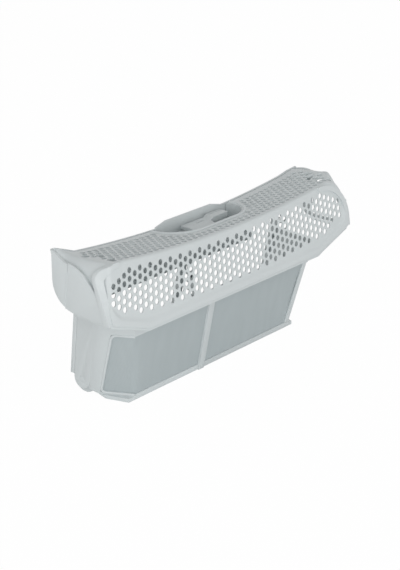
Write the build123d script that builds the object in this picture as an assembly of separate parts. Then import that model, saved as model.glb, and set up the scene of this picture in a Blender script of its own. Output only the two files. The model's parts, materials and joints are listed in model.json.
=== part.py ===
from build123d import *
from math import cos, radians, sin, sqrt, tan
import os

# Tumble dryer lint filter: a perforated cover on a mesh pocket, closed by a hinged rear frame.
# X runs along the length, Y to the back, Z up.
# The origin is on the pocket's flat base, at the middle of its length.

# Perforated front panel and the smile of the top
hole_pitch = 6.5          # distance between neighbouring holes
hole_width = 4.6          # across the corners of a hole
half_rows = 11            # rows of holes, counted in half pitches
cut_rows = 3              # half rows that the field loses at its corners
field_margin = 6.0        # plain border between the holes and the ends
smile_radius = 1100.0     # sag of the long edges, ends up
panel_tilt = 7.2          # lean of the front panel, foot forward
top_row_y = -47.0         # top row of holes at mid length
top_row_z = 114.5
crease_above = 8.4        # crease over the top row, along the panel
top_fall = 5.5            # fall of the top towards the back

# Cover
cover_wall = 1.8
end_plate = 2.5
web_thick = 2.5           # stiffening webs behind the panel
web_depth = 5.0
left_web_x = -53.0
right_web_x = 66.0
cover_rear_y = 5.6        # back edge of the top
lip_z = 69.5              # straight lower edge of the front
lip_half = 107.0          # half length of that straight edge
foot_drop = 2.0           # small step at each end of the lip
foot_run = 5.0
lip_end_z = 84.0          # lower edge at the end plates
port_rim = 2.5            # frame left round the ports of the right-hand end

# Ends of the cover: half length, run of the rounded shoulder, rise of the rear corner, round of the panel's
# upper corner and lift of the rear edge, half way out and at the end. Each section, given by its distance
# from the end, the edge at the end plate and the plate's rim list drops under the top at six depths.
left_end = {
    "half": 148.5,
    "shoulder": 23.5,
    "wing": 4.5,
    "corner": 14.0,
    "curl": (3.0, 5.5),
    "sections": ((10.5, (1.5, 1.0, 1.0, 0.5, -0.5, -3.0)), (5.5, (8.0, 7.0, 6.0, 4.0, 2.0, -4.5))),
    "edge": (36.0, 23.0, 14.5, 9.0, 6.0, -5.0),
    "rim": (33.0, 21.0, 12.5, 6.5, 3.5, -3.0),
}
right_end = {
    "half": 152.0,
    "shoulder": 27.0,
    "wing": -2.2,
    "corner": 36.0,
    "curl": (1.0, 0.5),
    "sections": ((13.0, (8.0, 1.0, -1.5, -1.5, -1.5, -1.0)), (7.0, (14.5, 5.0, -0.5, -0.5, -0.5, 0.0))),
    "edge": (29.0, 15.0, 5.0, 5.0, 5.0, 3.0),
    "rim": (25.0, 12.5, 2.0, 3.0, 1.2, 1.4),
}

bezel_depth = 4.5         # thick border of the panel at its ends
bezel_proud = 1.0         # border past the end plate
bezel_width = 8.0
bezel_top = 5.0           # width of the border along the crease

# Slots of the top
top_margin = 6.0          # plain edge round the slots
slot_pitch = 9.0
slot_width = 5.2
slot_rows = 3
slot_bar = 2.2            # bar between two rows of slots

# Finger recess in the top
recess_centre_x = 5.5
recess_half = 46.0
recess_front_y = -24.4
recess_corner = 23.0
recess_floor_z = 92.0
recess_wall = 1.6

# Pocket
flange = 2.0              # floor plate that the cover stands on
pocket_wall = 2.0
base_thick = 3.0
front_y = -27.0           # front face at the base
front_lean = 11.2
rear_y = 28.1             # rear face at the base
rear_lean = 12.7
fold_draft = 10.0
side_half = 115.0         # half width of the pocket at the base
fold_in = 17.0            # fold of the front wall at the base, in from the side
side_draft = 7.0
facet_turn = 28.6         # plan angle of the corner facets
base_in = 10.5            # front corner of the base, in from the side
window_low = 5.0
window_high = 61.0
facet_low = 28.0          # width of the window on the facet, low and high
facet_high = 19.0
rib_width = 6.5
rib_x = -19.0             # the front rib stands left of the middle
rib_proud = 1.2
mesh_depth = 0.7          # face of the mesh behind the face of its frame
mesh_thick = 0.6

# Rear frame and hinge
lid_thick = 4.0
lid_gap = 0.3
ear_radius = 8.0
ear_cheek = 40.0          # angle at which the side wall runs into the ear
axle_radius = 2.5
axle_play = 0.05
knuckle = 5.0
hinge_end_gap = 0.4
floor_gap = 0.5           # the curl of the rear frame stays off the ground
curl_start = 215.0        # angle of the curl's free edge about the hinge
curl_overlap = 15.0       # angle over which the curl runs into the plate
rear_wall = 2.0           # upright upper wall of the rear frame
lid_stile = 7.0
rear_mesh_low = 16.0
rear_mesh_high = 33.0
sill_top = 38.0
vent_top = 77.0
vent_out = 3.0            # outer end of the vents, out from the side at the base
tall_vent_half = 88.0     # outside this the vents reach higher
tall_vent_top = 110.0
slot_half = 15.0          # slot behind the recess for the nose of the hook
slot_low = 99.0
slot_high = 109.0
tab_half = 40.0           # raised back of the recess
tab_rise = 4.5
tab_slope = 12.0          # its top corners are cut
tab_drop = 3.0
seam_top_y = -8.5         # parting line of the end plates
seam_low_y = -5.0
seam_top_z = 119.0
seam_low_z = 92.0
bay_radius = 20.6         # rounded lower back corner of the end bays
bay_centre_y = -13.0
bay_centre_z = 108.0
tip_reach = 1.0           # pointed rear corners of the end plates
tip_height = 4.0

# Latch hook
hook_from = -9.0          # tongue across the recess
hook_to = 17.0
pad_to = 39.0             # thumb pad at the back, longer than the tongue
pad_depth = 9.0
pad_thick = 5.0
hook_pivot_y = -18.5
hook_pivot_z = 110.0
hook_barrel = 3.5
hook_axle = 2.0
hook_plate = 2.2
hook_pad_y = 2.0          # back edge of the thumb pad
hook_pad_z = 117.5
nose_reach = 10.0
nose_half = 9.0
nose_drop = 0.6           # nose under the edge of its slot
ear_thick = 2.6
ear_wall = 3.0
ear_gap = 0.4

# Worked out from the sizes above
column_step = hole_pitch * sqrt(3) / 2
fold_half = side_half - fold_in
base_corner = side_half - base_in
vent_half = side_half + vent_out
tilt_sin = sin(radians(panel_tilt))
tilt_cos = cos(radians(panel_tilt))
crease_y = top_row_y + crease_above * tilt_sin
crease_z = top_row_z + crease_above * tilt_cos
back_y = cover_rear_y + lid_gap + rear_wall
curl_radius = ear_radius + lid_gap + lid_thick
hinge_z = curl_radius + floor_gap
hinge_y = rear_y - hinge_z * tan(radians(rear_lean)) - curl_radius / cos(radians(rear_lean))
curl_half = side_half - pocket_wall - hinge_end_gap
knee_z = bay_centre_z - bay_radius
through = 2 * crease_z    # far enough for a cut to pass right through


def sag(x):
    return smile_radius - sqrt(smile_radius ** 2 - x ** 2)


def top_z(x, y):
    return crease_z + sag(x) - (y - crease_y) * tan(radians(top_fall))


def panel_y(z):
    return top_row_y + (z - top_row_z) * tan(radians(panel_tilt))


def front_at(z):
    return front_y - z * tan(radians(front_lean))


def rear_at(z):
    return rear_y - z * tan(radians(rear_lean))


def side_at(z):
    return side_half + z * tan(radians(side_draft))


def fold_at(z):
    return fold_half + z * tan(radians(fold_draft))


# End of the plain middle stretch of the cover
def plain_to(end):
    return end["half"] - end["shoulder"]


def polygon(points):
    return make_face(Polyline(*points, close=True))


# Face of the YZ plane carried along X
def along_x(face, x_from, x_to):
    return Pos(X=x_from) * extrude(Plane.YZ * face, amount=x_to - x_from)


def side_solid(points, x_from, x_to):
    return along_x(polygon(points), x_from, x_to)


# Solid with flat sides between two outlines that have as many corners
def flat_sided(low, high):
    sides = [[a, b, d, c] for a, b, c, d in zip(low, low[1:] + low[:1], high, high[1:] + high[:1])]
    faces = [Face(Wire.make_polygon(points)) for points in [low, high] + sides]
    return Solid(Shell(faces))


def both(solid):
    return solid + mirror(solid, about=Plane.YZ)


# Lower edge of the cover, seen from the front
def lip_line(lift):
    rise = [(lip_half, lip_z + lift), (lip_half + foot_run, lip_z + foot_drop + lift)]
    right = rise + [(right_end["half"], lip_end_z + lift)]
    left = rise + [(left_end["half"], lip_end_z + lift)]
    return [(-x, z) for x, z in reversed(left)] + right


# Everything above the smile of the top, lowered by drop
def sky(drop):
    half = max(left_end["half"], right_end["half"])
    ends = top_z(half, crease_y) - drop
    arc = ThreePointArc((-half, ends), (0, crease_z - drop), (half, ends))
    high = 3 * through
    outline = arc + Polyline((half, ends), (half, high), (-half, high), (-half, ends))
    face = Pos(Y=crease_y) * (Plane.XZ * make_face(outline))
    fall = (0, cos(radians(top_fall)), -sin(radians(top_fall)))
    return extrude(face, amount=through, dir=fall) + extrude(face, amount=through, dir=[-c for c in fall])


# Plain middle stretch of the cover as a solid, its walls moved in by inset
def mid_block(inset):
    shift = inset / tilt_cos
    front = [(panel_y(lip_z) + shift, lip_z), (panel_y(through) + shift, through)]
    points = front + [(cover_rear_y, through), (cover_rear_y, lip_z)]
    return side_solid(points, -plain_to(left_end), plain_to(right_end)) - sky(inset)


# Depths at which the drops of an end are given
def end_depths():
    return [crease_y + (cover_rear_y - crease_y) * i / 5 for i in range(6)]


# Section of a cover end in the YZ plane, its walls moved in by inset
def end_section(x, inset, drops):
    heights = [top_z(x, y) - drop - inset for y, drop in zip(end_depths(), drops)]
    shift = inset / tilt_cos
    points = [(panel_y(lip_z) + shift, lip_z), (panel_y(heights[0]) + shift, heights[0])]
    points += list(zip(end_depths(), heights))[1:] + [(cover_rear_y, lip_z)]
    return Pos(X=x) * (Plane.YZ * polygon(points))


# Rounded shoulder from the plain stretch to the end plate
def end_block(end, inset):
    places = [(plain_to(end), [0] * 6)]
    places += [(end["half"] - back, drops) for back, drops in end["sections"]]
    places.append((end["half"] - end_plate, end["edge"]))
    return loft([end_section(x, inset, drops) for x, drops in places], ruled=True)


def on_left(solid):
    return mirror(solid, about=Plane.YZ)


def both_ends(inset):
    return end_block(right_end, inset) + on_left(end_block(left_end, inset))


# Outline of a whole end plate, from its front foot round the rim to the rear corner and the rounded back
def end_outline(end):
    half = end["half"]
    rim = [(y, top_z(half, y) - drop) for y, drop in zip(end_depths(), end["rim"])]
    foot_z = lip_end_z + flange
    tip = (back_y + tip_reach, top_z(half, back_y) + end["wing"])
    nape = (back_y, tip[1] - tip_height)
    start = (panel_y(foot_z), foot_z)
    front = (panel_y(rim[0][1]), rim[0][1])
    back_foot = (back_y, bay_centre_z)
    bay_low = (bay_centre_y, knee_z)
    diagonal = bay_radius * sin(radians(45))
    bay_mid = (bay_centre_y + diagonal, bay_centre_z - diagonal)
    edge = Line(start, front) + Spline(front, *rim[1:], tip) + Polyline(tip, nape, back_foot)
    edge += ThreePointArc(back_foot, bay_mid, bay_low) + Polyline(bay_low, (bay_centre_y, foot_z), start)
    return make_face(edge)


# Part of the YZ plane in front of (or behind) the parting line of the end plates
def seam_side(behind, gap):
    far = through if behind else -through
    slope = (seam_top_y - seam_low_y) / (seam_top_z - seam_low_z)
    low = seam_low_y - slope * seam_low_z + gap
    high = low + slope * through
    return polygon([(low, 0), (high, through), (far, through), (far, 0)])


def end_plates(behind, gap):
    plates = []
    for end in (right_end, left_end):
        face = end_outline(end) & seam_side(behind, gap)
        plates.append(along_x(face, end["half"] - end_plate, end["half"]))
    return plates[0] + on_left(plates[1])


# Plane of the front panel, with its origin on the top row of holes
def panel_plane():
    return Plane(origin=(0, top_row_y, top_row_z), x_dir=(1, 0, 0), z_dir=(0, -tilt_cos, tilt_sin))


# Diamond holes of the front panel, on lines square to the smile
def panel_holes():
    columns = 2 * int((min(left_end["half"], right_end["half"]) - field_margin) / column_step)
    middle = (columns - 1) / 2
    spots = []
    for row in range(half_rows):
        inset = max(0, cut_rows - row, 2 * (row - half_rows + cut_rows))
        for column in range(inset, columns - inset):
            if (row + column) % 2:
                turn = (column - middle) * column_step / smile_radius
                reach = smile_radius + row * hole_pitch / 2
                spots.append(Pos(reach * sin(turn), smile_radius - reach * cos(turn)) * hole_face())
    return extrude(panel_plane() * Sketch(children=spots), amount=2 * bezel_depth, both=True)


def hole_face():
    return RegularPolygon(radius=hole_width / 2, side_count=4)


# Slots of the top, clear of the recess and of the ends
def top_slots():
    first = crease_y + top_margin
    depth = cover_rear_y - top_margin - first
    length = (depth - (slot_rows - 1) * slot_bar) / slot_rows
    first_column = -int(plain_to(left_end) / slot_pitch) - 1
    last_column = int(plain_to(right_end) / slot_pitch) + 1
    spots = []
    for row in range(slot_rows):
        y = first + length / 2 + row * (length + slot_bar)
        for column in range(first_column, last_column + 1):
            x = column * slot_pitch
            beside = abs(x - recess_centre_x) > recess_half + slot_pitch
            ahead = y + length / 2 < recess_front_y - recess_wall
            if beside or ahead:
                spots.append(Pos(x, y) * Rectangle(slot_width, length))
    reach = sag(right_end["half"]) + 4 * cover_wall
    return Pos(Z=crease_z) * extrude(Sketch(children=spots), amount=reach, both=True)


# Thick rounded border of the panel at one end
def bezel(end):
    out = end["half"] + bezel_proud
    inner = out - bezel_width
    start = inner - end["corner"]
    foot = (lip_z - top_row_z) / tilt_cos
    rise = crease_above + sag(start)
    face = polygon([(start, foot), (out, foot), (out, crease_above + sag(out)), (start, rise)])
    face = fillet(face.vertices().sort_by(Axis.X)[-2:].sort_by(Axis.Y)[-1], end["corner"])
    face -= polygon([(start, foot), (inner, foot), (inner, crease_above), (start, rise - bezel_top)])
    return extrude(panel_plane() * face, amount=-bezel_depth)


# Plan of the finger recess, grown by grow, open at the back
def recess_face(grow):
    half = recess_half + grow
    front = recess_front_y - grow
    face = polygon([(-half, front), (half, front), (half, cover_rear_y), (-half, cover_rear_y)])
    return Pos(X=recess_centre_x) * fillet(face.vertices().group_by(Axis.Y)[0], recess_corner + grow)


# Frame of the open right-hand end
def end_port():
    half = right_end["half"]
    low = lip_end_z + flange + port_rim
    rim = [(y, top_z(half, y) - drop - port_rim) for y, drop in zip(end_depths(), right_end["rim"])]
    back = seam_top_y - port_rim
    front = [(panel_y(low) + port_rim, low), (crease_y + port_rim, rim[0][1])]
    points = front + rim[1:3] + [(back, rim[3][1]), (back, low)]
    return side_solid(points, half - 2 * end_plate, half + end_plate)


# Ears on the front wall of the recess, with square seats for the axle of the latch hook
def hook_ears():
    wide = hook_axle + ear_wall
    wall_y = recess_front_y - recess_wall / 2
    free_y = hook_pivot_y + wide
    low_z = hook_pivot_z - wide
    high_z = hook_pivot_z + wide
    outline = [(wall_y, low_z), (wall_y, high_z), (free_y, high_z), (free_y, low_z)]
    low = hook_from - ear_gap - ear_thick
    high = hook_to + ear_gap
    return side_solid(outline, low, low + ear_thick) + side_solid(outline, high, high + ear_thick)


def grille_cover():
    shell = mid_block(0) + both_ends(0) - mid_block(cover_wall) - both_ends(cover_wall)
    web = mid_block(cover_wall / 2) - mid_block(cover_wall + web_depth)
    for x in (left_web_x, right_web_x):
        shell += web & (Pos(X=x) * Box(web_thick, 2 * through, 2 * through))
    shell += end_plates(False, -lid_gap) + bezel(right_end) + on_left(bezel(left_end))
    under = lip_line(flange)
    left = under[0][0] - end_plate
    right = under[-1][0] + end_plate
    below = polygon([(left, 0), (right, 0), (right, under[-1][1])] + under[::-1] + [(left, under[0][1])])
    shell -= extrude(Plane.XZ * below, amount=through, both=True)
    shell += Pos(Z=recess_floor_z) * extrude(recess_face(recess_wall), amount=through) - sky(0)
    shell -= Pos(Z=recess_floor_z + recess_wall) * extrude(recess_face(0), amount=through)
    shell += hook_ears()
    seat_long = hook_to - hook_from + 2 * (ear_thick + ear_gap)
    seat_wide = 2 * (hook_axle + axle_play)
    seat = Box(seat_long, seat_wide, seat_wide)
    shell -= Pos((hook_from + hook_to) / 2, hook_pivot_y, hook_pivot_z) * seat
    shell -= end_port()
    shell -= panel_holes()
    shell -= top_slots()
    return shell


# Plan points of the pocket's right-hand half at height z, moved in by inset
def corner_points(z, inset):
    turn = radians(facet_turn)
    fold = (fold_at(z) - inset * cos(turn) + inset * (1 - sin(turn)) * tan(turn), front_at(z) + inset)
    along = (side_at(z) - inset - fold_at(z) + inset * cos(turn)) / sin(turn)
    side = (side_at(z) - inset, front_at(z) + inset * sin(turn) + along * cos(turn))
    return fold, side


def pocket_section(z, inset, rear):
    fold, side = corner_points(z, inset)
    right = [fold, side, (side[0], rear)]
    return [(x, y, z) for x, y in right] + [(-x, y, z) for x, y in reversed(right)]


# Bent strip of the front wall and facet, between two depths, from start_x to a width along the facet
def wall_strip(z, outer, inner, start_x, width):
    turn = radians(facet_turn)
    points = []
    for inset in (outer, inner):
        fold, _ = corner_points(z, inset)
        end_x = fold_at(z) - inset * cos(turn) + width * sin(turn)
        end_y = front_at(z) + inset * sin(turn) + width * cos(turn)
        leg = [(start_x, front_at(z) + inset, z), (*fold, z), (end_x, end_y, z)]
        points += leg if inset == outer else leg[::-1]
    return points


# Window of the right-hand side, or of the left-hand one before it is mirrored
def window_block(outer, inner, rib):
    low = wall_strip(window_low, outer, inner, rib + rib_width / 2, facet_low)
    high = wall_strip(window_high, outer, inner, rib + rib_width / 2, facet_high)
    return flat_sided(low, high)


def parting_at(z):
    return rear_at(z) - (lid_thick + lid_gap) / cos(radians(rear_lean))


def pocket_frame():
    top = lip_end_z
    body = flat_sided(pocket_section(0, 0, parting_at(0)), pocket_section(top, 0, parting_at(top)))
    floor_face = polygon(lip_line(0) + lip_line(flange)[::-1])
    floor = Pos(Y=bay_centre_y) * extrude(Plane.XZ * floor_face, amount=bay_centre_y - panel_y(lip_z))
    behind_panel = polygon([(panel_y(0), 0), (panel_y(through), through), (through, through), (through, 0)])
    floor &= along_x(behind_panel, end_plate - left_end["half"], right_end["half"] - end_plate)
    above = polygon(lip_line(flange) + [(right_end["half"], through), (-left_end["half"], through)])
    frame = body - extrude(Plane.XZ * above, amount=through, both=True) + floor
    cavity_low = pocket_section(base_thick, pocket_wall, through)
    cavity_high = pocket_section(2 * top, pocket_wall, through)
    frame -= flat_sided(cavity_low, cavity_high)
    side_y = corner_points(0, 0)[1][1]
    plate = [(base_corner, front_y), (side_half, side_y)]
    frame += extrude(polygon(plate + [(-x, y) for x, y in reversed(plate)]), amount=base_thick)
    past_wall = pocket_wall + rib_width
    frame -= window_block(-rib_width, past_wall, rib_x)
    frame -= on_left(window_block(-rib_width, past_wall, -rib_x))
    rib_front = [(front_at(0) - rib_proud, 0), (front_at(lip_z) - rib_proud, lip_z)]
    rib_back = [(front_at(lip_z) + pocket_wall, lip_z), (front_at(0) + pocket_wall, 0)]
    frame += side_solid(rib_front + rib_back, rib_x - rib_width / 2, rib_x + rib_width / 2)
    return hinge_ears(frame - floor_port())


# Port in the floor plate beside the right-hand side of the pocket
def floor_port():
    x_from = side_at(lip_end_z) + port_rim
    x_to = right_end["half"] - end_plate - port_rim
    y_from = panel_y(lip_end_z) + 2 * port_rim
    y_to = bay_centre_y - port_rim
    port = Box(x_to - x_from, y_to - y_from, lip_end_z)
    return Pos((x_from + x_to) / 2, (y_from + y_to) / 2, lip_end_z) * port


# The side walls end in round ears for the hinge, with the base cut back for the curl
def hinge_ears(frame):
    reach = curl_radius + lid_gap
    heel_y = hinge_y - reach - ear_radius
    cheek = about_hinge(ear_radius, 180 + ear_cheek)
    notch = polygon([(heel_y, -base_thick), (heel_y, 0), cheek, (hinge_y, hinge_z), (through, hinge_z),
                     (through, -base_thick)])
    frame -= both(along_x(notch, base_corner, side_half + curl_radius))
    base_back = hinge_y - sqrt(reach ** 2 - (hinge_z - base_thick) ** 2)
    under_curl = Pos(base_back + through / 2, 0) * Rectangle(through, 2.2 * base_thick)
    frame -= along_x(under_curl, -side_half - curl_radius, side_half + curl_radius)
    inner = side_half - pocket_wall
    outer = side_at(hinge_z)
    ear = Cylinder(ear_radius, outer - inner, rotation=(0, 90, 0))
    bore = Cylinder(axle_radius + axle_play, 4 * (outer - inner), rotation=(0, 90, 0))
    seat = Pos((inner + outer) / 2, hinge_y, hinge_z)
    return frame + both(seat * ear) - both(seat * bore)


# Point at a distance and angle from the hinge axis, in the YZ plane
def about_hinge(reach, angle):
    return (hinge_y + reach * cos(radians(angle)), hinge_z + reach * sin(radians(angle)))


# Hinged rear half: leaning plate, curl round the hinge, upright wall and stub axles
def rear_frame():
    depth = lid_thick / cos(radians(rear_lean))
    inner = curl_radius - lid_thick
    ring = Pos(hinge_y, hinge_z) * (Circle(curl_radius) - Circle(inner))
    curl_end = 360 + rear_lean + curl_overlap
    corners = [curl_start + (curl_end - curl_start) * i / 3 for i in range(4)]
    keep = polygon([(hinge_y, hinge_z)] + [about_hinge(10 * curl_radius, angle) for angle in corners])
    sections = []
    for z in (about_hinge(curl_radius, rear_lean)[1], knee_z):
        half = side_at(z)
        back = rear_at(z)
        plan = [(-half, back - depth), (half, back - depth), (half, back), (-half, back)]
        sections.append([(x, y, z) for x, y in plan])
    lid = flat_sided(*sections) + along_x(ring & keep, -curl_half, curl_half)
    lid += upper_wall()
    lid -= lid_openings()
    stop = Pos(hinge_y, hinge_z) * RegularPolygon(radius=inner + lid_thick / 2, side_count=6)
    lid += both(along_x(stop, curl_half - knuckle, curl_half))
    axle_from = curl_half - knuckle / 2
    axle = Cylinder(axle_radius, side_at(hinge_z) - axle_from, rotation=(0, 90, 0))
    return lid + both(Pos((side_at(hinge_z) + axle_from) / 2, hinge_y, hinge_z) * axle)


# Upright wall of the rear frame, its raised tab, the end cheeks and the rounded floor of the left-hand bay
def upper_wall():
    low = knee_z - lid_thick
    left = -plain_to(left_end)
    right = plain_to(right_end)
    face = polygon([(left, low), (right, low), (right, through), (left, through)])
    wall = Pos(Y=back_y) * extrude(Plane.XZ * face, amount=rear_wall) - sky(0)
    wall += wall_end(right_end) + on_left(wall_end(left_end) + bay_floor(left_end))
    crown = top_z(recess_centre_x, back_y) + tab_rise
    step = tab_half - tab_slope
    flank = [(tab_half, knee_z), (tab_half, crown - tab_drop), (step, crown)]
    tab = polygon(flank + [(-x, z) for x, z in reversed(flank)])
    wall += Pos(X=recess_centre_x, Y=back_y) * extrude(Plane.XZ * tab, amount=rear_wall)
    return wall + end_plates(True, 0)


# One end of the upright wall with its curled top edge
def wall_end(end):
    start = plain_to(end)
    inner = end["half"] - end_plate
    bend = (start + inner) / 2
    first, last = end["curl"]
    lifts = ((inner, last), (bend, first), (start, 0))
    crest = [(x, top_z(x, back_y) + lift) for x, lift in lifts]
    face = polygon([(start, bay_centre_z), (inner, bay_centre_z)] + crest)
    return Pos(Y=back_y) * extrude(Plane.XZ * face, amount=rear_wall)


# Rounded floor that closes the bay of one end at the back
def bay_floor(end):
    ring = Pos(bay_centre_y, bay_centre_z) * (Circle(bay_radius) - Circle(bay_radius - rear_wall))
    quarter = polygon([(seam_low_y, bay_centre_z), (seam_low_y, 0), (through, 0), (through, bay_centre_z)])
    return along_x(ring & quarter, side_at(knee_z) + floor_gap, end["half"] - end_plate)


def lid_openings():
    vents = []
    mesh_half = side_at(rear_mesh_low) - lid_stile
    vents.append((rib_width / 2, mesh_half, rear_mesh_low, rear_mesh_high))
    vents.append((rib_width / 2, vent_half, sill_top, vent_top))
    vents.append((tall_vent_half, vent_half, sill_top, tall_vent_top))
    tool = None
    for x_from, x_to, z_from, z_to in vents:
        spot = Pos((x_from + x_to) / 2, back_y, (z_from + z_to) / 2)
        box = spot * Box(x_to - x_from, through, z_to - z_from)
        tool = both(box) if tool is None else tool + both(box)
    spot = Pos((hook_from + hook_to) / 2, back_y, (slot_low + slot_high) / 2)
    return tool + spot * Box(2 * slot_half, through, slot_high - slot_low)


def rear_mesh():
    lean = radians(rear_lean)
    x_from = rib_width / 2
    x_to = side_at(rear_mesh_low) - lid_stile
    points = []
    for depth in (mesh_depth, mesh_depth + mesh_thick):
        leg = [(rear_at(z) - depth / cos(lean), z) for z in (rear_mesh_low, rear_mesh_high)]
        points += leg if depth == mesh_depth else leg[::-1]
    return side_solid(points, x_from, x_to)


# Thumb lever with a barrel at its front, an S-shaped tongue, a thick pad and a nose under the rear frame
def latch_hook():
    width = hook_to - hook_from
    middle = (hook_from + hook_to) / 2
    barrel = Pos(hook_pivot_y, hook_pivot_z) * RegularPolygon(radius=hook_barrel, side_count=6)
    start = (hook_pivot_y - hook_barrel, hook_pivot_z)
    crown = (hook_pad_y - pad_depth, hook_pad_z)
    under = (crown[0], hook_pad_z - hook_plate)
    outer = [start, (hook_pivot_y, hook_pad_z - hook_plate), crown]
    inner = [under, (hook_pivot_y + hook_plate, hook_pad_z - 2 * hook_plate), (hook_pivot_y, hook_pivot_z)]
    pad_low = hook_pad_z - pad_thick
    pad = [crown, (hook_pad_y, hook_pad_z), (hook_pad_y, pad_low), (crown[0], pad_low)]
    nose_top = slot_high - nose_drop
    nose_low = nose_top - hook_plate
    leg_y = hook_pad_y - hook_plate
    nose = [(crown[0], pad_low), (crown[0], nose_low), (nose_reach, nose_low), (nose_reach, nose_top)]
    nose += [(leg_y, nose_top), (leg_y, pad_low)]
    hook = side_solid(outer + inner, hook_from, hook_to) + side_solid(pad, hook_from, pad_to)
    hook += along_x(barrel, hook_from, hook_to) + side_solid(nose, middle - nose_half, middle + nose_half)
    axle = Cylinder(hook_axle, width + 2 * (ear_gap + ear_thick), rotation=(0, 90, 0))
    return hook + Pos(middle, hook_pivot_y, hook_pivot_z) * axle


front_mesh_left = on_left(window_block(mesh_depth, mesh_depth + mesh_thick, -rib_x))
front_mesh_right = window_block(mesh_depth, mesh_depth + mesh_thick, rib_x)
rear_mesh_right = rear_mesh()
nodes = {
    "grille_cover": grille_cover(),
    "pocket_frame": pocket_frame(),
    "front_mesh_left": front_mesh_left,
    "front_mesh_right": front_mesh_right,
    "rear_frame": rear_frame(),
    "rear_mesh_left": mirror(rear_mesh_right, about=Plane.YZ),
    "rear_mesh_right": rear_mesh_right,
    "latch_hook": latch_hook(),
}

os.makedirs("parts", exist_ok=True)
for name, shape in nodes.items():
    export_step(shape, f"parts/{name}.step")
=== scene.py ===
import json
import math

import bpy
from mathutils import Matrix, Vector

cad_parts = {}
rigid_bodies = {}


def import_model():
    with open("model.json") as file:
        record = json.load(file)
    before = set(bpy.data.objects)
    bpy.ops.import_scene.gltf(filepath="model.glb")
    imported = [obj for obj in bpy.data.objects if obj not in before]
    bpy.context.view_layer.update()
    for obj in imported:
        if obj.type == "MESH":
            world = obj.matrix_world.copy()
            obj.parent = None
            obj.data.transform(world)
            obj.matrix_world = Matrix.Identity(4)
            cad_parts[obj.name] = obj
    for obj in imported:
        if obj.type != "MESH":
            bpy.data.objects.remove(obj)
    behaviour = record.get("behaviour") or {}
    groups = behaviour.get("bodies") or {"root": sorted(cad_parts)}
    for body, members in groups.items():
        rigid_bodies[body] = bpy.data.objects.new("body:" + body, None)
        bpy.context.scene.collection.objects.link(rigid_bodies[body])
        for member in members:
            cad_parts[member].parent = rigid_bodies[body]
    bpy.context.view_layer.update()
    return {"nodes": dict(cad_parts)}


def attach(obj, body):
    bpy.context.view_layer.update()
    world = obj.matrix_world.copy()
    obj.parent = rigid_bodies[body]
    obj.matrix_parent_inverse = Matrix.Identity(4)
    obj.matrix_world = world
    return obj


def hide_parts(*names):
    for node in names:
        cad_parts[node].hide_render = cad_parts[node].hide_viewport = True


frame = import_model()
nodes = frame["nodes"]
mm = 0.001
print("frame loaded:", len(nodes), "nodes")


# Colours are written as sRGB hex and turned to linear here
def hexColour(text):
    parts = [int(text[i:i + 2], 16) / 255 for i in (1, 3, 5)]
    return [p / 12.92 if p <= 0.04045 else ((p + 0.055) / 1.055) ** 2.4 for p in parts] + [1.0]


def addNode(tree, kind, settings=None, values=None, links=None):
    node = tree.nodes.new(kind)
    for name, value in (settings or {}).items():
        setattr(node, name, value)
    for name, value in (values or {}).items():
        node.inputs[name].default_value = value
    for name, source in (links or {}).items():
        tree.links.new(source, node.inputs[name])
    return node


def newMaterial(name):
    material = bpy.data.materials.new(name)
    material.use_nodes = True
    material.node_tree.nodes.clear()
    return material, material.node_tree


housing = {"colour": "#D0D6D7", "shade": "#CBD1D2", "roughness": 0.42, "grainMm": 0.6, "cloudMm": 60}


# Moulded polypropylene: satin, with the fine spark-eroded grain of its mould and faint flow clouds
def mouldedPlastic():
    material, tree = newMaterial("mouldedPolypropylene")
    place = addNode(tree, "ShaderNodeTexCoord")
    grain = addNode(tree, "ShaderNodeTexNoise", {}, {"Scale": 1000 / housing["grainMm"], "Detail": 2.0},
                    {"Vector": place.outputs["Object"]})
    bump = addNode(tree, "ShaderNodeBump", {}, {"Strength": 0.1, "Distance": 0.00005},
                   {"Height": grain.outputs["Fac"]})
    cloud = addNode(tree, "ShaderNodeTexNoise", {}, {"Scale": 1000 / housing["cloudMm"], "Detail": 3.0},
                    {"Vector": place.outputs["Object"]})
    tone = addNode(tree, "ShaderNodeMix", {"data_type": "RGBA"}, {}, {"Factor": cloud.outputs["Fac"]})
    tone.inputs[6].default_value = hexColour(housing["colour"])
    tone.inputs[7].default_value = hexColour(housing["shade"])
    gloss = addNode(tree, "ShaderNodeMapRange", {},
                    {"To Min": housing["roughness"] - 0.04, "To Max": housing["roughness"] + 0.06},
                    {"Value": grain.outputs["Fac"]})
    shader = addNode(tree, "ShaderNodeBsdfPrincipled", {}, {"IOR": 1.49},
                     {"Base Color": tone.outputs[2], "Roughness": gloss.outputs["Result"],
                      "Normal": bump.outputs["Normal"]})
    addNode(tree, "ShaderNodeOutputMaterial", {}, {}, {"Surface": shader.outputs["BSDF"]})
    return material


gauze = {"colour": "#B1BABC", "shade": "#A9B2B4", "threadMm": 0.7, "streakMm": 7}


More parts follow.
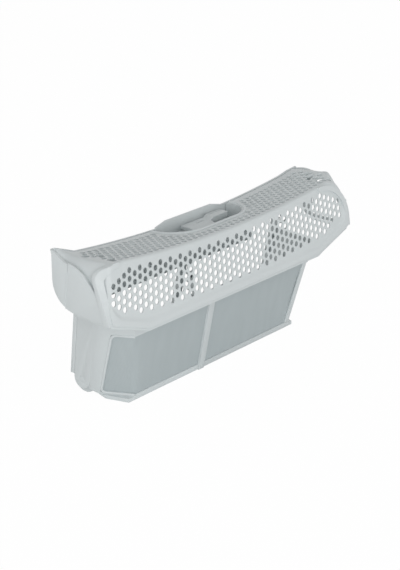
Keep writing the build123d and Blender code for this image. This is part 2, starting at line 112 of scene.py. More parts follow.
# Woven polyester gauze: matt crossing threads, drawn coarser than real so that they show, with faint loom streaks
def wovenGauze():
    material, tree = newMaterial("wovenPolyesterGauze")
    place = addNode(tree, "ShaderNodeTexCoord")
    bands = []
    for direction in ("X", "Z"):
        bands.append(addNode(tree, "ShaderNodeTexWave", {"bands_direction": direction},
                             {"Scale": 1000 / gauze["threadMm"] / 20 * math.pi}, {"Vector": place.outputs["Object"]}))
    weave = addNode(tree, "ShaderNodeMath", {"operation": "MULTIPLY"}, {},
                    {0: bands[0].outputs["Fac"], 1: bands[1].outputs["Fac"]})
    stretch = addNode(tree, "ShaderNodeMapping", {}, {"Scale": (1, 1, 0.06)}, {"Vector": place.outputs["Object"]})
    streak = addNode(tree, "ShaderNodeTexNoise", {}, {"Scale": 1000 / gauze["streakMm"], "Detail": 2.0},
                     {"Vector": stretch.outputs["Vector"]})
    share = addNode(tree, "ShaderNodeMath", {"operation": "MULTIPLY_ADD"}, {1: 0.35},
                    {0: weave.outputs["Value"], 2: streak.outputs["Fac"]})
    tone = addNode(tree, "ShaderNodeMix", {"data_type": "RGBA"}, {}, {"Factor": share.outputs["Value"]})
    tone.inputs[6].default_value = hexColour(gauze["shade"])
    tone.inputs[7].default_value = hexColour(gauze["colour"])
    bump = addNode(tree, "ShaderNodeBump", {}, {"Strength": 0.3, "Distance": 0.0001},
                   {"Height": weave.outputs["Value"]})
    shader = addNode(tree, "ShaderNodeBsdfPrincipled", {}, {"IOR": 1.53, "Roughness": 0.7},
                     {"Base Color": tone.outputs[2], "Normal": bump.outputs["Normal"]})
    addNode(tree, "ShaderNodeOutputMaterial", {}, {}, {"Surface": shader.outputs["BSDF"]})
    return material


plastic = mouldedPlastic()
meshCloth = wovenGauze()
for node in nodes.values():
    node.data.materials.clear()
    node.data.materials.append(meshCloth if "mesh" in node.name else plastic)
print("materials ready")


def deselectAll():
    bpy.ops.object.select_all(action="DESELECT")


def editAll(piece):
    deselectAll()
    bpy.context.view_layer.objects.active = piece
    piece.select_set(True)
    bpy.ops.object.mode_set(mode="EDIT")
    bpy.ops.mesh.select_mode(type="VERT")
    bpy.ops.mesh.select_all(action="SELECT")


def leaveEdit():
    bpy.ops.mesh.select_all(action="SELECT")
    bpy.ops.mesh.normals_make_consistent(inside=False)
    bpy.ops.object.mode_set(mode="OBJECT")


# Grid whose points are put where place says, in mm; a ring that meets itself is merged and its ends are filled
def shapedGrid(name, across, along, place, solid):
    deselectAll()
    bpy.ops.mesh.primitive_grid_add(x_subdivisions=across, y_subdivisions=along, size=2)
    piece = bpy.context.object
    piece.name = name
    for point in piece.data.vertices:
        point.co = Vector(place(round((point.co.x + 1) / 2 * across), round((point.co.y + 1) / 2 * along))) * mm
    editAll(piece)
    bpy.ops.mesh.remove_doubles(threshold=1e-6)
    if solid:
        bpy.ops.mesh.select_all(action="DESELECT")
        bpy.ops.mesh.select_non_manifold()
        bpy.ops.mesh.fill_holes(sides=0)
    leaveEdit()
    return piece


# Flat outline given thickness: lay turns its two coordinates and a depth into a place, in mm
def slab(name, outline, lay, low, high, rounding=0):
    deselectAll()
    bpy.ops.mesh.primitive_circle_add(vertices=len(outline), radius=1, fill_type="NGON")
    piece = bpy.context.object
    piece.name = name
    for point, (u, v) in zip(piece.data.vertices, outline):
        point.co = Vector(lay(u, v, low)) * mm
    step = (Vector(lay(0, 0, high)) - Vector(lay(0, 0, low))) * mm
    editAll(piece)
    bpy.ops.mesh.extrude_region_move(TRANSFORM_OT_translate={"value": step})
    if rounding:
        leaveEdit()
        mark = piece.data
        for edge in mark.edges:  # the edges of both faces, not those along the thickness
            a, b = (mark.vertices[i].co for i in edge.vertices)
            edge.select = abs((b - a).dot(step)) < 0.5 * (b - a).length * step.length
        bpy.ops.object.mode_set(mode="EDIT")
        bpy.ops.mesh.select_mode(type="EDGE")
        bpy.ops.mesh.bevel(offset=rounding * mm, segments=3, profile=0.5, clamp_overlap=True)
    leaveEdit()
    return piece


# Lays for an outline in the plane across X, and for a plan given height
def acrossX(u, v, w):
    return (w, u, v)


def upright(u, v, w):
    return (u, v, w)


# Round bead along a line of points, in mm
def bead(name, line, radius, sides=8):
    def place(i, j):
        here = Vector(line[i])
        ahead = (Vector(line[min(i + 1, len(line) - 1)]) - Vector(line[max(i - 1, 0)])).normalized()
        side = ahead.cross(Vector((0, 0.6, 0.8))).normalized()
        turn = 2 * math.pi * (j % sides) / sides
        return here + (side * math.cos(turn) + side.cross(ahead) * math.sin(turn)) * radius
    return shapedGrid(name, len(line) - 1, sides, place, True)


def combine(piece, other, how):
    deselectAll()
    before = len(piece.data.polygons)
    change = piece.modifiers.new("combine", "BOOLEAN")
    change.operation = how
    change.solver = "MANIFOLD"
    change.object = other
    bpy.context.view_layer.objects.active = piece
    piece.select_set(True)
    bpy.ops.object.modifier_apply(modifier=change.name)
    if len(piece.data.polygons) == before:
        print("no change from", other.name)
    bpy.data.objects.remove(other)


# Smooth curve through values that never swings past them
def easyCurve(places, values, at):
    at = min(max(at, places[0]), places[-1])
    k = max(i for i in range(len(places) - 1) if places[i] <= at)
    rises = [(b - a) / (q - p) for a, b, p, q in zip(values, values[1:], places, places[1:])]
    slopes = [rises[0]] + [2 * a * b / (a + b) if a * b > 0 else 0 for a, b in zip(rises, rises[1:])] + [rises[-1]]
    run = places[k + 1] - places[k]
    t = (at - places[k]) / run
    lift = (1 - t) ** 2 * (1 + 2 * t) * values[k] + t * t * (3 - 2 * t) * values[k + 1]
    return lift + run * t * (1 - t) * ((1 - t) * slopes[k] - t * slopes[k + 1])


def ease(low, high, at):
    t = min(max((at - low) / (high - low), 0), 1)
    return t * t * (3 - 2 * t)


# Form of the cover, in mm: the solid's values, with rounded edges and a thinner front wall
cover = {
    "tilt": math.radians(7.2), "fall": math.radians(5.5), "smile": 1100.0, "rowY": -47.0, "rowZ": 114.5,
    "creaseAbove": 8.4, "wall": 1.2, "topWall": 2.2, "plate": 2.5, "rearY": 5.6,
    "lipZ": 71.5, "lipHalf": 107.0, "footRun": 5.0, "footRise": 2.0, "endZ": 86.0,
    "creaseRound": 3.2, "rearRound": 1.4, "lipProud": 1.8, "lipTall": 4.6,
    "borderWide": 3.0, "fieldCorner": 14.0, "soften": 3.4, "lipTurn": 0.7, "lipRound": 1.6,
}
coverSteps = {"panel": 24, "crowd": 0.6, "crease": 8, "top": 24, "rear": 4, "left": 20, "middle": 42, "right": 22}
leftEnd = {
    "side": -1, "half": 148.5, "shoulder": 23.5, "corner": 14.0,
    "sections": ((10.5, (1.5, 1.0, 1.0, 0.5, -0.5, -3.0)), (5.5, (8.0, 7.0, 6.0, 4.0, 2.0, -4.5))),
    "edge": (36.0, 23.0, 14.5, 9.0, 6.0, -5.0), "rim": (33.0, 21.0, 12.5, 6.5, 3.5, -3.0),
}
rightEnd = {
    "side": 1, "half": 152.0, "shoulder": 27.0, "corner": 36.0,
    "sections": ((13.0, (8.0, 1.0, -1.5, -1.5, -1.5, -1.0)), (7.0, (14.5, 5.0, -0.5, -0.5, -0.5, 0.0))),
    "edge": (29.0, 15.0, 5.0, 5.0, 5.0, 3.0), "rim": (25.0, 12.5, 2.0, 3.0, 1.2, 1.4),
}
creaseY = cover["rowY"] + cover["creaseAbove"] * math.sin(cover["tilt"])
creaseZ = cover["rowZ"] + cover["creaseAbove"] * math.cos(cover["tilt"])
depths = [creaseY + (cover["rearY"] - creaseY) * i / 5 for i in range(6)]


def sag(x):
    return cover["smile"] - math.sqrt(cover["smile"] ** 2 - x * x)


def topZ(x, y):
    return creaseZ + sag(x) - (y - creaseY) * math.tan(cover["fall"])


def panelY(z):
    return cover["rowY"] + (z - cover["rowZ"]) * math.tan(cover["tilt"])


# Place on the front panel: across, up from the top row of holes, and out from its face
def onPanel(u, v, out):
    tilt = cover["tilt"]
    return (u, cover["rowY"] + v * math.sin(tilt) - out * math.cos(tilt),
            cover["rowZ"] + v * math.cos(tilt) + out * math.sin(tilt))


def endAt(x):
    return rightEnd if x > 0 else leftEnd


def lowEdge(x):
    half = endAt(x)["half"]
    foot = cover["lipHalf"] + cover["footRun"]
    places = (0, cover["lipHalf"], foot, half, half + 10)
    heights = (cover["lipZ"], cover["lipZ"], cover["lipZ"] + cover["footRise"], cover["endZ"], cover["endZ"])
    k = max(i for i in range(4) if places[i] <= abs(x))
    return heights[k] + (heights[k + 1] - heights[k]) * (abs(x) - places[k]) / (places[k + 1] - places[k])


def endDrops(x):
    end = endAt(x)
    half = end["half"]
    places = [0, half - end["shoulder"]] + [half - back for back, drops in end["sections"]] + [half - cover["plate"]]
    rows = [[0] * 6, [0] * 6] + [drops for back, drops in end["sections"]] + [end["edge"]]
    return [easyCurve(places, [row[i] for row in rows], abs(x)) for i in range(6)]


# The lip and the end borders stand proud of the field of holes
def borderRise(x, z):
    end = endAt(x)
    corner = cover["fieldCorner"]
    up = max(corner + cover["lipTall"] - z + lowEdge(x), 0)
    out = max(corner + cover["borderWide"] - end["half"] + abs(x), 0)
    return cover["lipProud"] * ease(-cover["soften"], 0, math.hypot(up, out) - corner)


# Section of the cover at x, its walls moved in by inset, from the lip round the crease to the back
def coverSection(x, inset):
    drops = endDrops(x)
    low = lowEdge(x) - 4 * inset
    rear = cover["rearY"] + 3 * inset
    under = cover["topWall"] if inset else 0

    def height(y):
        return topZ(x, y) - easyCurve(depths, drops, y) - under

    shift = inset / math.cos(cover["tilt"])
    crest = topZ(x, creaseY) - drops[0] - under
    corner = Vector((panelY(crest) + shift, crest))
    reach = cover["creaseRound"] - 0.8 * inset
    down = Vector((panelY(crest - reach) + shift, crest - reach))
    back = Vector((corner.x + reach, height(corner.x + reach)))
    points = []
    crowd = coverSteps["crowd"]
    for i in range(coverSteps["panel"] + 1):
        share = i / coverSteps["panel"]
        z = low + (down.y - low) * ((1 - crowd) * share + crowd * share ** 2)
        out = 0 if inset else borderRise(x, z) - cover["lipTurn"] * (1 - ease(0, cover["lipRound"], z - low)) ** 2
        points.append((panelY(z) + shift - out, z))
    for i in range(1, coverSteps["crease"]):
        t = i / coverSteps["crease"]
        bent = down * (1 - t) ** 2 + corner * (2 * t * (1 - t)) + back * t * t
        points.append((bent.x, bent.y))
    edge = cover["rearRound"]
    for i in range(coverSteps["top"] + 1):
        y = back.x + (rear - edge - back.x) * i / coverSteps["top"]
        points.append((y, height(y)))
    for i in range(1, coverSteps["rear"] + 1):
        turn = math.pi / 2 * i / coverSteps["rear"]
        points.append((rear - edge + edge * math.sin(turn), height(rear) - edge + edge * math.cos(turn)))
    points.append((rear, low))
    points.append(points[0])
    return points


def coverColumns(extra):
    left = leftEnd["half"] - cover["plate"] + extra
    right = rightEnd["half"] - cover["plate"] + extra
    leftPlain = leftEnd["half"] - leftEnd["shoulder"]
    rightPlain = rightEnd["half"] - rightEnd["shoulder"]
    toLeft, across, toRight = coverSteps["left"], coverSteps["middle"], coverSteps["right"]
    columns = [-left + (left - leftPlain) * i / toLeft for i in range(toLeft)]
    columns += [-leftPlain + (leftPlain + rightPlain) * i / across for i in range(across)]
    return columns + [rightPlain + (right - rightPlain) * i / toRight for i in range(toRight + 1)]


def coverBlock(name, inset):
    columns = coverColumns(4 * inset)
    sections = [coverSection(x, inset) for x in columns]
    return shapedGrid(name, len(columns) - 1, len(sections[0]) - 1,
                      lambda i, j: (columns[i], *sections[i][j]), True)


coverPiece = coverBlock("perforatedCover", 0)
combine(coverPiece, coverBlock("hollow", cover["wall"]), "DIFFERENCE")
print("cover shell:", len(coverPiece.data.polygons), "faces")

seam = {"topY": -8.5, "lowY": -5.0, "topZ": 119.0, "lowZ": 92.0, "gap": 0.3}


# Parting line between the end plates and the rear frame
def seamY(z):
    slope = (seam["topY"] - seam["lowY"]) / (seam["topZ"] - seam["lowZ"])
    return seam["lowY"] + slope * (z - seam["lowZ"]) - seam["gap"]


plateEnd = {"tuck": 0.6, "rounding": 0.7, "floor": 2.0, "heelY": -13.0, "steps": 39}


# End plate from the front foot along its raised rim to the parting line
def endPlate(end):
    half = end["half"]
    rim = [topZ(half, y) - drop for y, drop in zip(depths, end["rim"])]
    outline = [(panelY(cover["endZ"]), cover["endZ"])]
    for i in range(plateEnd["steps"] + 1):
        y = depths[0] + (depths[-1] - depths[0]) * i / plateEnd["steps"]
        z = easyCurve(depths, rim, y)
        if y < seamY(z):
            outline.append((y if i else panelY(z), z))
    outline.append((seamY(outline[-1][1]), outline[-1][1] + seam["gap"]))
    low = cover["endZ"] + plateEnd["floor"]
    outline += [(seamY(low), low), (plateEnd["heelY"], cover["endZ"])]
    inner = end["side"] * (half - cover["plate"] - plateEnd["tuck"])
    return slab("endPlate", outline, acrossX, inner, end["side"] * half, plateEnd["rounding"])


border = {"proud": 1.0, "wide": 4.6, "deep": 4.5, "below": 0.4, "lift": 0.8, "rounding": 0.9}


# Rounded border of the panel at one end
def endBorder(end):
    out = end["half"] + border["proud"]
    start = out - border["wide"] - end["corner"]
    top = cover["creaseAbove"] + sag(out) - border["below"]
    begin = cover["creaseAbove"] + sag(start) - border["below"]
    slope = math.atan2(top - begin, out - start)
    half = (math.pi / 2 - slope) / 2
    reach = end["corner"] / math.sin(half)
    middle = (out - reach * math.sin(half), top - reach * math.cos(half))
    foot = (lowEdge(out) - cover["rowZ"]) / math.cos(cover["tilt"])
    outer, inner = [(out, foot)], [(out - border["wide"], foot)]
    for i in range(21):
        turn = (math.pi / 2 + slope) * i / 20
        for line, radius in ((outer, end["corner"]), (inner, end["corner"] - border["wide"])):
            line.append((middle[0] + radius * math.cos(turn), middle[1] + radius * math.sin(turn)))
    outer.append((start, begin))
    inner.append((start, begin - border["wide"]))
    outline = [(end["side"] * u, v) for u, v in outer + inner[::-1]]
    face = cover["lipProud"] * border["lift"]
    return slab("endBorder", outline, onPanel, -border["deep"], face, border["rounding"])


for end in (leftEnd, rightEnd):
    combine(coverPiece, endPlate(end), "UNION")
    combine(coverPiece, endBorder(end), "UNION")

# Raised edge along the rim of the left end plate
rimBead = {"radius": 0.9, "fromY": -42.0, "toY": -9.5, "steps": 30}
rimHeights = [topZ(leftEnd["half"], y) - drop for y, drop in zip(depths, leftEnd["rim"])]
line = []
for i in range(rimBead["steps"] + 1):
    y = rimBead["fromY"] + (rimBead["toY"] - rimBead["fromY"]) * i / rimBead["steps"]
    line.append((-leftEnd["half"] + rimBead["radius"], y, easyCurve(depths, rimHeights, y)))
combine(coverPiece, bead("rimBead", line, rimBead["radius"], 10), "UNION")

# Fine bead that closes the seam at the left
seamBead = {"radius": 0.45, "in": 0.1, "z": (89.5, 100.0, 110.0, 118.5)}
line = [(-leftEnd["half"] + seamBead["in"], seamY(z) + seam["gap"] / 2, z) for z in seamBead["z"]]
combine(coverPiece, bead("seamBead", line, seamBead["radius"]), "UNION")

# Stiffening webs under the panel and the top
web = {"x": (-53.0, 66.0), "thick": 2.5, "depth": 5.0, "tuck": 0.9, "rear": 1.5}
inside = cover["wall"] + web["depth"]
for x in web["x"]:
    tuck, low = web["tuck"], cover["lipZ"]
    top = topZ(x, creaseY) - tuck
    back = cover["rearY"] - web["rear"]
    backTop = topZ(x, cover["rearY"])
    outline = [(panelY(low) + tuck, low), (panelY(top) + tuck, top), (back, backTop - tuck), (back, backTop - inside),
               (panelY(top - inside) + inside, top - inside), (panelY(low) + inside, low)]
    rib = slab("web", outline, acrossX, x - web["thick"] / 2, x + web["thick"] / 2)
    combine(coverPiece, rib, "UNION")
print("ends and webs joined")

recess = {
    "middle": 5.5, "half": 46.0, "frontY": -24.4, "corner": 23.0, "floorZ": 92.0, "wall": 1.6,
    "rim": 1.1, "rimOut": 2.6, "slopeFrom": -12.0, "slope": 0.75,
}


# Plan of the finger recess, grown by grow, open at the back
def recessPlan(grow, backY):
    half = recess["half"] + grow
    radius = recess["corner"] + grow
    front = recess["frontY"] - grow
    plan = [(-half, backY)]
    for i in range(13):
        turn = math.pi / 2 * i / 12
        plan.append((-half + radius - radius * math.cos(turn), front + radius - radius * math.sin(turn)))
    plan += [(-x, y) for x, y in reversed(plan)]
    return [(recess["middle"] + x, y) for x, y in plan]


# The floor of the recess rises towards its front
def slopeFloor(piece):
    for point in piece.data.vertices:
        if point.co.z < (recess["floorZ"] + 5) * mm:
            point.co.z += max(recess["slopeFrom"] * mm - point.co.y, 0) * recess["slope"]


bowl = slab("recessBowl", recessPlan(recess["wall"], cover["rearY"] - 0.05), upright,
            recess["floorZ"], recess["floorZ"] + 10)
for point in bowl.data.vertices:
    if point.co.z > (recess["floorZ"] + 5) * mm:
        point.co.z = (topZ(point.co.x / mm, point.co.y / mm) - 0.5) * mm
slopeFloor(bowl)
combine(coverPiece, bowl, "UNION")
line = [(x, y, topZ(x, y) + 0.1) for x, y in recessPlan(recess["rimOut"], cover["rearY"] - 2)]
combine(coverPiece, bead("recessRim", line, recess["rim"], 10), "UNION")
cavity = slab("recessCavity", recessPlan(0, 30), upright, recess["floorZ"] + recess["wall"], 150)
slopeFloor(cavity)
combine(coverPiece, cavity, "DIFFERENCE")

# Ears that carry the axle of the latch, with square seats
latchEars = {
    "x": ((-12.0, -9.4), (17.4, 20.0)), "y": (-25.0, -13.5), "z": (105.0, 115.0),
    "cut": 3, "rounding": 0.4, "axle": (-18.5, 110), "seat": 2.05,
}
for xLow, xHigh in latchEars["x"]:
    (yLow, yHigh), (zLow, zHigh), cut = latchEars["y"], latchEars["z"], latchEars["cut"]
    outline = [(yLow, zLow), (yHigh - cut, zLow), (yHigh, zLow + cut),
               (yHigh, zHigh - cut), (yHigh - cut, zHigh), (yLow, zHigh)]
    ear = slab("latchEar", outline, acrossX, xLow, xHigh, latchEars["rounding"])
    (axleY, axleZ), seat = latchEars["axle"], latchEars["seat"]
    hole = [(axleY + a * seat, axleZ + b * seat) for a, b in ((-1, -1), (1, -1), (1, 1), (-1, 1))]
    combine(ear, slab("seat", hole, acrossX, xLow - 1, xHigh + 1), "DIFFERENCE")
    combine(coverPiece, ear, "UNION")
print("finger recess cut")

port = {"rim": 2.5, "floor": 2.0, "reach": (8.0, 4.0)}


# Open right-hand end
def endPort():
    half = rightEnd["half"]
    rim = port["rim"]
    low = cover["endZ"] + port["floor"]
    back = seam["topY"] - rim
    edge = [(y, topZ(half, y) - drop - rim) for y, drop in zip(depths, rightEnd["rim"])]
    outline = [(panelY(low) + rim, low), (creaseY + rim, edge[0][1])] + edge[1:3]
    outline += [(back, edge[3][1]), (back, low)]
    return slab("endPort", outline, acrossX, half - port["reach"][0], half + port["reach"][1])


combine(coverPiece, endPort(), "DIFFERENCE")

holes = {
    "pitch": 6.5, "radius": 2.25, "wide": 0.92, "flare": 0.25, "draft": 0.4, "rows": 11, "columns": 50,
    "stagger": 0.866, "sides": 14, "deep": 10.0, "clear": 6.0,
}


# One cutter, flared where it leaves the face
def holeCutter(radius, draft):
    deselectAll()
    bpy.ops.mesh.primitive_cylinder_add(vertices=holes["sides"], radius=radius * mm, depth=holes["deep"] * mm,
                                        location=(0, 0, (-holes["deep"] / 2 - holes["flare"]) * mm))
    cutter = bpy.context.object
    for point in cutter.data.vertices:
        if point.co.z < 0:  # the moulding pin is wider at its root, behind the face
            point.co.xy *= 1 + holes["deep"] * draft / radius
    editAll(cutter)
    bpy.ops.mesh.select_all(action="DESELECT")
    bpy.ops.object.mode_set(mode="OBJECT")
    for face in cutter.data.polygons:
        face.select = face.normal.z > 0.9
    bpy.ops.object.mode_set(mode="EDIT")
    bpy.ops.mesh.select_mode(type="FACE")
    for lift, grow in ((holes["flare"], 1 + holes["flare"] / radius), (holes["clear"], 1)):
        bpy.ops.mesh.extrude_region_move(TRANSFORM_OT_translate={"value": (0, 0, lift * mm)})
        bpy.ops.transform.resize(value=(grow, grow, 1))
    leaveEdit()
    bpy.ops.object.transform_apply(location=True, rotation=True, scale=True)
    return cutter


# Copies of the cutter, one for each spot, where lay puts a point of the cutter
def drill(piece, radius, draft, spots, lay):
    cutter = holeCutter(radius, draft)
    points, faces = [], []
    for spot in spots:
        first = len(points)
        points += [Vector(lay(spot, point.co / mm)) * mm for point in cutter.data.vertices]
        faces += [[first + i for i in face.vertices] for face in cutter.data.polygons]
    cutter.data.clear_geometry()
    cutter.data.from_pydata(points, [], faces)
    editAll(cutter)
    leaveEdit()
    combine(piece, cutter, "DIFFERENCE")


# Holes of the front lie on lines square to the smile
def frontSpots():
    spots = []
    for row in range(holes["rows"]):
        inset = max(0, 3 - row, 2 * (row - holes["rows"] + 3))  # the corners of the field are cut off
        for column in range(inset, holes["columns"] - inset):
            if (row + column) % 2:
                turn = (column - holes["columns"] / 2 + 0.5) * holes["stagger"] * holes["pitch"] / cover["smile"]
                reach = cover["smile"] + row * holes["pitch"] / 2
                spots.append((reach * math.sin(turn), cover["smile"] - reach * math.cos(turn)))
    return spots


topHoles = {
    "pitch": 6.5, "radius": 2.3, "firstY": -39.2, "step": 5.1, "rows": 8, "from": -131, "to": 137,
    "columns": (-22, 24), "margin": 6,
}


# Holes of the top, clear of the recess
def topSpots():
    spots = []
    for row in range(topHoles["rows"]):
        y = topHoles["firstY"] + row * topHoles["step"]
        for column in range(*topHoles["columns"]):
            x = (column + row % 2 / 2) * topHoles["pitch"]
            aside = abs(x - recess["middle"]) - recess["half"] + recess["corner"]
            ahead = recess["frontY"] + recess["corner"] - y
            reach = math.hypot(max(aside, 0), max(ahead, 0)) - recess["corner"]
            if topHoles["from"] < x < topHoles["to"] and reach > topHoles["margin"]:
                spots.append((x, y))
    return spots


# Place on the top, over a spot
def onTop(spot, co):
    drop = easyCurve(depths, endDrops(spot[0]), spot[1])
    return (spot[0] + co.x, spot[1] + co.y, topZ(*spot) - drop + co.z)


drill(coverPiece, holes["radius"], holes["draft"], frontSpots(),
      lambda spot, co: onPanel(spot[0] + co.x * holes["wide"], spot[1] + co.y, co.z))
drill(coverPiece, topHoles["radius"], 0, topSpots(), onTop)

# Larger odd holes where the grid meets the ends
oddHoles = {"radius": 3.0, "spots": ((-133.6, -13.3), (-125.1, -20.0), (-129.7, -36.0),
                                     (135.1, -16.8), (130.8, -23.3), (131.4, -33.7))}
drill(coverPiece, oddHoles["radius"], 0, oddHoles["spots"], onTop)

# The left border is swept back towards its upper corner
sweep = {"from": 140.0, "to": 149.5, "lowZ": 88.0, "highZ": 118.0, "back": 9.0, "deep": 22.0}
for point in coverPiece.data.vertices:
    x, y, z = point.co / mm
    if x < -sweep["from"]:
        rise = min(max((z - sweep["lowZ"]) / (sweep["highZ"] - sweep["lowZ"]), 0), 1)
        depth = min(max(1 - (y - panelY(z)) / sweep["deep"], 0), 1)
        point.co.y += sweep["back"] * ease(sweep["from"], sweep["to"], -x) * rise * depth * mm
print("holes drilled:", len(frontSpots()), "and", len(topSpots()))


# Material, shading, and what the piece rides on and stands for
def finish(piece, material, body, slotName, *stands):
    deselectAll()
    piece.data.materials.clear()
    piece.data.materials.append(material)
    bpy.context.view_layer.objects.active = piece
    piece.select_set(True)
    bpy.ops.object.shade_smooth_by_angle(angle=math.radians(32))
    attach(piece, body)
    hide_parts(*stands)


# Chips that the cuts left loose are deleted, and edges too short to see are closed up
def cleanUp(piece):
    short = 5e-6
    editAll(piece)
    bpy.ops.mesh.dissolve_degenerate(threshold=short)
    bpy.ops.mesh.quads_convert_to_tris(quad_method="BEAUTY", ngon_method="BEAUTY")
    bpy.ops.mesh.dissolve_degenerate(threshold=short)
    bpy.ops.mesh.select_all(action="DESELECT")
    bpy.ops.mesh.select_mode(type="FACE")
    bpy.ops.object.mode_set(mode="OBJECT")
    max(piece.data.polygons, key=lambda face: face.area).select = True
    bpy.ops.object.mode_set(mode="EDIT")
    bpy.ops.mesh.select_linked()
    bpy.ops.mesh.select_all(action="INVERT")
    bpy.ops.mesh.delete(type="VERT")
    bpy.ops.mesh.select_all(action="SELECT")
    bpy.ops.object.mode_set(mode="OBJECT")


cleanUp(coverPiece)
finish(coverPiece, plastic, "front_half", "housing_plastic", "grille_cover")


# Copy of a solid with its edges rounded off, as a mould leaves them
def roundedCopy(name, node, width, chosen=None):
    deselectAll()
    piece = bpy.data.objects.new(name, nodes[node].data.copy())
    bpy.context.scene.collection.objects.link(piece)
    editAll(piece)
    bpy.ops.mesh.remove_doubles(threshold=2e-6)
    bpy.ops.mesh.dissolve_limited(angle_limit=math.radians(0.5))
    bpy.ops.object.mode_set(mode="OBJECT")
    if chosen:
        roundEdges(piece, edges["corner"], chosen)
    change = piece.modifiers.new("edges", "BEVEL")
    change.width = width * mm
    change.segments = 2
    change.limit_method = "ANGLE"
    change.angle_limit = math.radians(40)
    change.use_clamp_overlap = True
    bpy.ops.object.modifier_apply(modifier=change.name)
    return piece


# Middle lines of a sheet's lower and upper edges, from the solid that it stands for
def sheetEdges(node):
    spots = {tuple(round(c / mm, 2) for c in point.co) for point in nodes[node].data.vertices}
    levels = sorted({z for x, y, z in spots})
    lines = []
    for level in (levels[0], levels[-1]):
        row = [Vector(spot) for spot in sorted(spots) if spot[2] == level]
        lines.append([(a + b) / 2 for a, b in zip(row[::2], row[1::2])])
    return lines


# Wider rounding along the edges that chosen picks by their ends, in mm
def roundEdges(piece, width, chosen):
    editAll(piece)
    bpy.ops.mesh.select_all(action="DESELECT")
    bpy.ops.mesh.select_mode(type="EDGE")
    bpy.ops.object.mode_set(mode="OBJECT")
    points = piece.data.vertices
    count = 0
    for edge in piece.data.edges:
        edge.select = chosen(*(points[i].co / mm for i in edge.vertices))
        count += edge.select
    bpy.ops.object.mode_set(mode="EDIT")
    bpy.ops.mesh.bevel(offset=width * mm, segments=4, profile=0.5, clamp_overlap=True)
    leaveEdit()
    print("rounded", count, "edges of", piece.name)


edges = {"pocket": 0.7, "corner": 3.0, "rear": 0.5, "latch": 0.4}
corners = {"longer": 63, "outside": 123.5, "ahead": -10}


# Long outer edges between the side walls and the corner facets
def uprightCorner(a, b):
    outer = max(abs(a.x), abs(b.x)) > corners["outside"]
    return outer and (b - a).length > corners["longer"] and min(a.y, b.y) < corners["ahead"]


pocketPiece = roundedCopy("pocketMoulding", "pocket_frame", edges["pocket"], uprightCorner)

# Port in the floor of the open right-hand end
floorPort = {"x": (123.4, 149.2), "y": (-47.0, -12.8), "z": (74.5, 92.0), "corner": 4.0}
(xLow, xHigh), (yLow, yHigh), cut = floorPort["x"], floorPort["y"], floorPort["corner"]
outline = [(xLow, yLow + cut), (xLow + cut, yLow), (xHigh - cut, yLow),
           (xHigh, yLow + cut), (xHigh, yHigh), (xLow, yHigh)]
combine(pocketPiece, slab("floorPort", outline, upright, *floorPort["z"]), "DIFFERENCE")

# Stile of the right-hand window, in front of its fold
stile = {"wide": 5.0, "past": 0.4, "over": 0.02, "out": 1.0, "deep": 0.6, "rounding": 0.4}
foldLow, foldHigh = (line[1] for line in sheetEdges("front_mesh_right"))


def onStile(u, v, out):
    spot = foldLow.lerp(foldHigh, v)
    return (spot.x + u, spot.y - out, spot.z)


low, high = -stile["over"], 1 + stile["over"]
outline = [(-stile["wide"], low), (stile["past"], low), (stile["past"], high), (-stile["wide"], high)]
strip = slab("stile", outline, onStile, -stile["deep"], stile["out"], stile["rounding"])

# Rounded rim along the outer end of each window, on its facet
windowRim = {"radius": 1.1, "sides": 10, "corner": 5.0, "out": 0.9, "turn": math.radians(28.6)}
rims = []
for node, side in (("front_mesh_left", -1), ("front_mesh_right", 1)):
    low, high = (line[::-side] for line in sheetEdges(node))
    away = Vector((side * math.sin(windowRim["turn"]), -math.cos(windowRim["turn"]), 0)) * windowRim["out"]
    path = [high[1]]
    for before, corner, after in ((high[1], high[0], low[0]), (high[0], low[0], low[1])):
        start = corner + (before - corner).normalized() * windowRim["corner"]
        stop = corner + (after - corner).normalized() * windowRim["corner"]
        for i in range(7):
            share = i / 6
            path.append(start * (1 - share) ** 2 + corner * 2 * share * (1 - share) + stop * share ** 2)
    path.append(low[1])
    rims.append(bead("windowRim", [spot + away for spot in path], windowRim["radius"], windowRim["sides"]))
deselectAll()
for added in [strip] + rims + [pocketPiece]:
    added.select_set(True)
bpy.context.view_layer.objects.active = pocketPiece
bpy.ops.object.join()
finish(pocketPiece, plastic, "front_half", "housing_plastic", "pocket_frame")

rearPiece = roundedCopy("rearMoulding", "rear_frame", edges["rear"])
finish(rearPiece, plastic, "rear_half", "housing_plastic", "rear_frame")

# Latch: the tongue lies lower than the thumb pad, with a slit in it and a groove along the pad
latchPiece = roundedCopy("latchLever", "latch_hook", edges["latch"])
lever = {
    "stepFrom": 18.0, "stepTo": 21.5, "drop": 2.0, "aboveZ": 114.6, "clearZ": 121.0,
    "slit": (3.5, 13.0, -3.9, -2.7, 113.6), "groove": (22.5, 38.0, -0.6, 0.3, 116.3),
}
editAll(latchPiece)
for x in (lever["stepFrom"], lever["stepTo"]):
    bpy.ops.mesh.select_all(action="SELECT")
    bpy.ops.mesh.bisect(plane_co=(x * mm, 0, 0), plane_no=(1, 0, 0))
leaveEdit()
for point in latchPiece.data.vertices:
    if point.co.z > lever["aboveZ"] * mm:
        point.co.z -= lever["drop"] * (1 - ease(lever["stepFrom"], lever["stepTo"], point.co.x / mm)) * mm
for xLow, xHigh, yLow, yHigh, low in (lever["slit"], lever["groove"]):
    outline = [(xLow, yLow), (xHigh, yLow), (xHigh, yHigh), (xLow, yHigh)]
    combine(latchPiece, slab("leverCut", outline, upright, low, lever["clearZ"]), "DIFFERENCE")
finish(latchPiece, plastic, "latch", "housing_plastic", "latch_hook")
print("mouldings rounded")

cloth = {"thick": 0.35, "dish": 0.5, "across": 40, "along": 20, "reach": 0.02, "soft": 0.7}


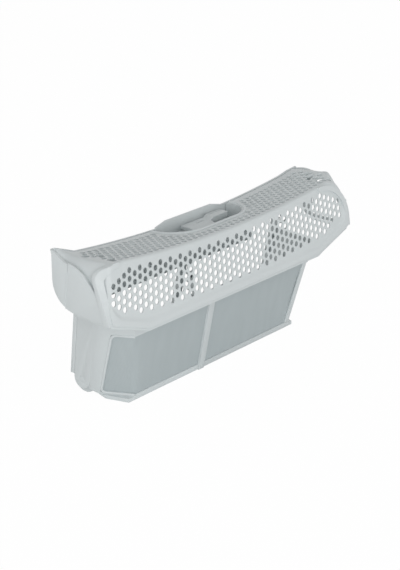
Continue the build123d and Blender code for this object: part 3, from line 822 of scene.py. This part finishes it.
# Place along a bent line, a share of its length from the start
def along(line, share):
    runs = [(b - a).length for a, b in zip(line, line[1:])]
    at = share * sum(runs)
    for run, a, b in zip(runs, line, line[1:]):
        if at <= run + 1e-9:
            return a.lerp(b, at / run)
        at -= run
    return line[-1]


# Sheet of gauze held in its window
def wovenSheet(name, node, body):
    ends = sheetEdges(node)
    inward = 1 if body == "front_half" else -1

    def place(i, j):
        u, v = i / cloth["across"], j / cloth["along"]
        spread = [along(line, u) for line in ends]
        near, far = max(u - cloth["reach"], 0), min(u + cloth["reach"], 1)
        eased = [(along(line, near) + along(line, far)) / 2 for line in ends]  # round the fold
        rows = [a * (1 - cloth["soft"]) + b * cloth["soft"] for a, b in zip(spread, eased)]
        spot = rows[0].lerp(rows[1], v)
        if i in (0, cloth["across"]):
            spot = spread[0].lerp(spread[1], v)
        spot.y += inward * cloth["dish"] * math.sin(math.pi * u) ** 0.5 * math.sin(math.pi * v) ** 0.5
        return spot

    piece = shapedGrid(name, cloth["across"], cloth["along"], place, False)
    change = piece.modifiers.new("cloth", "SOLIDIFY")
    change.thickness = cloth["thick"] * mm
    change.offset = 0
    bpy.ops.object.modifier_apply(modifier=change.name)
    finish(piece, meshCloth, body, "filter_mesh", node)


wovenSheet("frontGauzeLeft", "front_mesh_left", "front_half")
wovenSheet("frontGauzeRight", "front_mesh_right", "front_half")
wovenSheet("rearGauzeLeft", "rear_mesh_left", "rear_half")
wovenSheet("rearGauzeRight", "rear_mesh_right", "rear_half")
print("gauze stretched")

camera = {"place": (-0.8543, -0.7505, 0.5108), "turn": (68.43, 0, -49.1), "lens": 92.9}
light = {"sky": 0.38, "horizon": 1.04, "keyWatts": 9.0, "keySize": 1.2, "keyPlace": (-1.05, -1.2, 0.5),
         "keyAim": (0, 0, 0.08)}
backdrop = {"size": 6, "below": 0.0004, "colour": "#FCFCFC", "white": 0.98}


def setUpCamera():
    deselectAll()
    turn = [math.radians(angle) for angle in camera["turn"]]
    bpy.ops.object.camera_add(location=camera["place"], rotation=turn)
    made = bpy.context.object
    made.data.lens = camera["lens"]
    made.data.sensor_width = 36
    bpy.context.scene.camera = made


# Soft room light, dimmer overhead, with a white backdrop behind the object
def setUpWorld():
    world = bpy.data.worlds.new("studio")
    bpy.context.scene.world = world
    world.use_nodes = True
    tree = world.node_tree
    tree.nodes.clear()
    place = addNode(tree, "ShaderNodeTexCoord")
    split = addNode(tree, "ShaderNodeSeparateXYZ", {}, {}, {"Vector": place.outputs["Generated"]})
    glow = addNode(tree, "ShaderNodeMapRange", {}, {"To Min": light["horizon"], "To Max": light["sky"]},
                   {"Value": split.outputs["Z"]})
    room = addNode(tree, "ShaderNodeBackground", {}, {"Color": (1, 1, 1, 1)}, {"Strength": glow.outputs["Result"]})
    white = addNode(tree, "ShaderNodeBackground", {}, {"Color": (1, 1, 1, 1), "Strength": 1.0})
    path = addNode(tree, "ShaderNodeLightPath")
    seen = addNode(tree, "ShaderNodeMath", {"operation": "MAXIMUM"}, {},
                   {0: path.outputs["Is Camera Ray"], 1: path.outputs["Is Transmission Ray"]})
    both = addNode(tree, "ShaderNodeMixShader", {}, {},
                   {0: seen.outputs["Value"], 1: room.outputs["Background"], 2: white.outputs["Background"]})
    addNode(tree, "ShaderNodeOutputWorld", {}, {}, {"Surface": both.outputs["Shader"]})


# White paper sweep: seen as white, it keeps a faint shadow of the object
def setUpFloor():
    deselectAll()
    bpy.ops.mesh.primitive_plane_add(size=backdrop["size"], location=(0, 0, -backdrop["below"]))
    floor = bpy.context.object
    floor.name = "paperFloor"
    material, tree = newMaterial("whitePaper")
    paper = addNode(tree, "ShaderNodeBsdfDiffuse", {}, {"Color": hexColour(backdrop["colour"])})
    white = addNode(tree, "ShaderNodeEmission", {}, {"Color": (1, 1, 1, 1), "Strength": 1.0})
    path = addNode(tree, "ShaderNodeLightPath")
    share = addNode(tree, "ShaderNodeMath", {"operation": "MULTIPLY"}, {1: backdrop["white"]},
                    {0: path.outputs["Is Camera Ray"]})
    both = addNode(tree, "ShaderNodeMixShader", {}, {},
                   {0: share.outputs["Value"], 1: paper.outputs["BSDF"], 2: white.outputs["Emission"]})
    addNode(tree, "ShaderNodeOutputMaterial", {}, {}, {"Surface": both.outputs["Shader"]})
    floor.data.materials.append(material)


def setUpKey():
    deselectAll()
    bpy.ops.object.light_add(type="AREA", location=light["keyPlace"])
    key = bpy.context.object
    key.data.energy = light["keyWatts"]
    key.data.size = light["keySize"]
    key.rotation_euler = (Vector(light["keyAim"]) - key.location).to_track_quat("-Z", "Y").to_euler()


setUpCamera()
setUpWorld()
setUpFloor()
setUpKey()
bpy.context.scene.view_settings.view_transform = "Standard"
print("scene ready")
